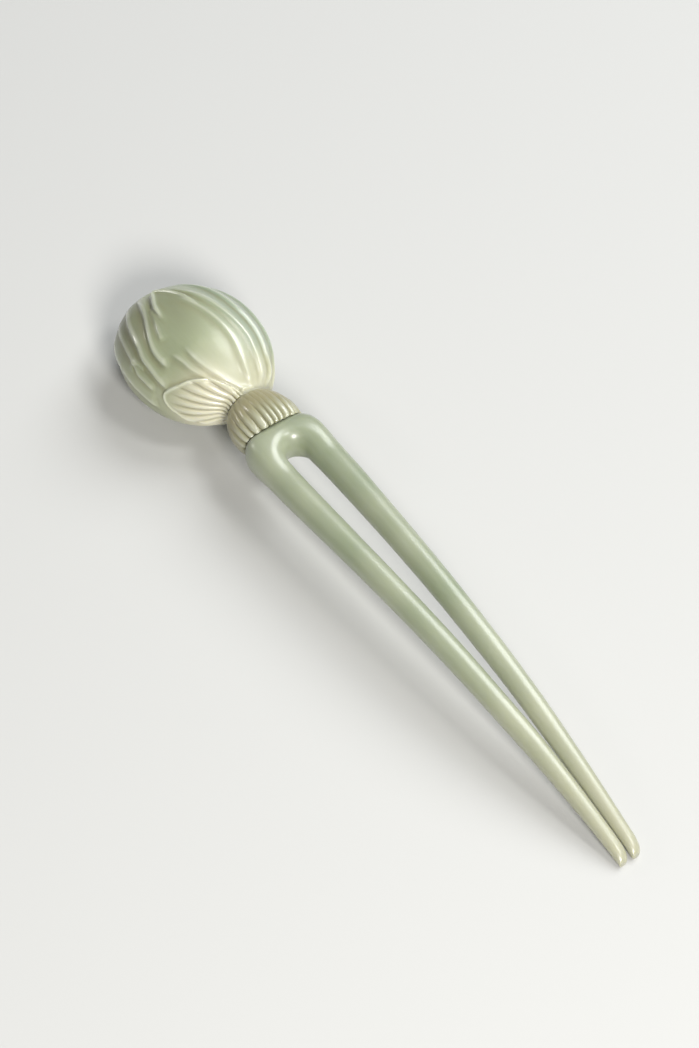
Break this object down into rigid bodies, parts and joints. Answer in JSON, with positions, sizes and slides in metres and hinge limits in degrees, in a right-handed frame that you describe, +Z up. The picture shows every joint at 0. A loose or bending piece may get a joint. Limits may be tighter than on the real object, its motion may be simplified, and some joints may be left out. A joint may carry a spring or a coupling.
{
  "type": "decorative hair pin",
  "caption": "Two-prong hair pin with a carved flower-bud head and a fluted collar, pushed into a bun or twist to hold the hair and show the bud.",
  "frame": {"origin": "middle of the pin's bounding box in plan, at the height of the bench it lies on", "axes": "+X along the pin from the bud to the tips, +Z up through the back of the arch, +Y across the two prongs"},
  "size_m": [0.1499, 0.0274, 0.0206],
  "materials": {
    "celadon_bud": "polished",
    "olive_collar": "polished",
    "celadon_fork": "polished",
    "brass_dowel": "satin"
  },
  "bodies": {
    "root": {"bud": "celadon_bud", "collar": "olive_collar", "fork": "celadon_fork", "dowel": "brass_dowel"}
  },
  "joints": []
}
